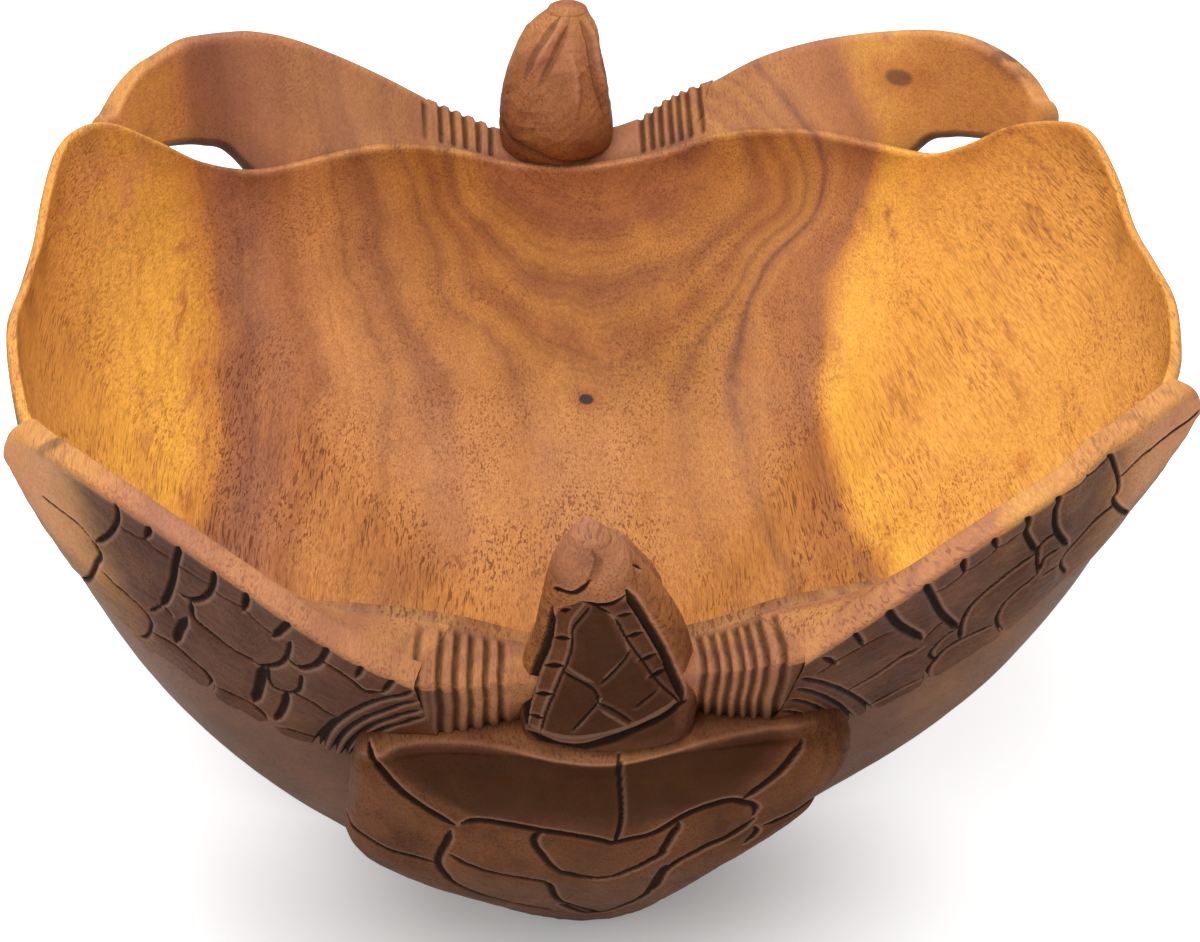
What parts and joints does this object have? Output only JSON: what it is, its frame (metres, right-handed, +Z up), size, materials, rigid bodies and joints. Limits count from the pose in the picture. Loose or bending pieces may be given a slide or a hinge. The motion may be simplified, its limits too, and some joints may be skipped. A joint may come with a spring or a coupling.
{
  "type": "fruit bowl",
  "caption": "Deep carved wooden fruit bowl with a wavy rim, held at each end by a sea turtle whose head rises over the rim and whose flippers spread along it.",
  "frame": {"origin": "on the table under the middle of the bowl", "axes": "+Z up; +Y from the turtle nearest the picture's camera to the one at the rear; +X to the right in the picture"},
  "size_m": [0.3156, 0.3614, 0.16],
  "materials": {
    "polished_wood": "hand-rubbed golden brown tropical hardwood, sapwood bands down both sides, soft satin oil sheen",
    "stained_wood": "the same wood with a dark reddish brown stain, carved grooves nearly black, raised edges rubbed lighter"
  },
  "bodies": {
    "root": {"bowl_body": "polished_wood", "front_head": "stained_wood", "front_neck": "stained_wood", "front_left_flipper": "stained_wood", "front_right_flipper": "stained_wood", "front_shell": "stained_wood", "rear_head": "stained_wood", "rear_neck": "stained_wood", "rear_left_flipper": "stained_wood", "rear_right_flipper": "stained_wood", "rear_shell": "stained_wood"}
  },
  "joints": []
}
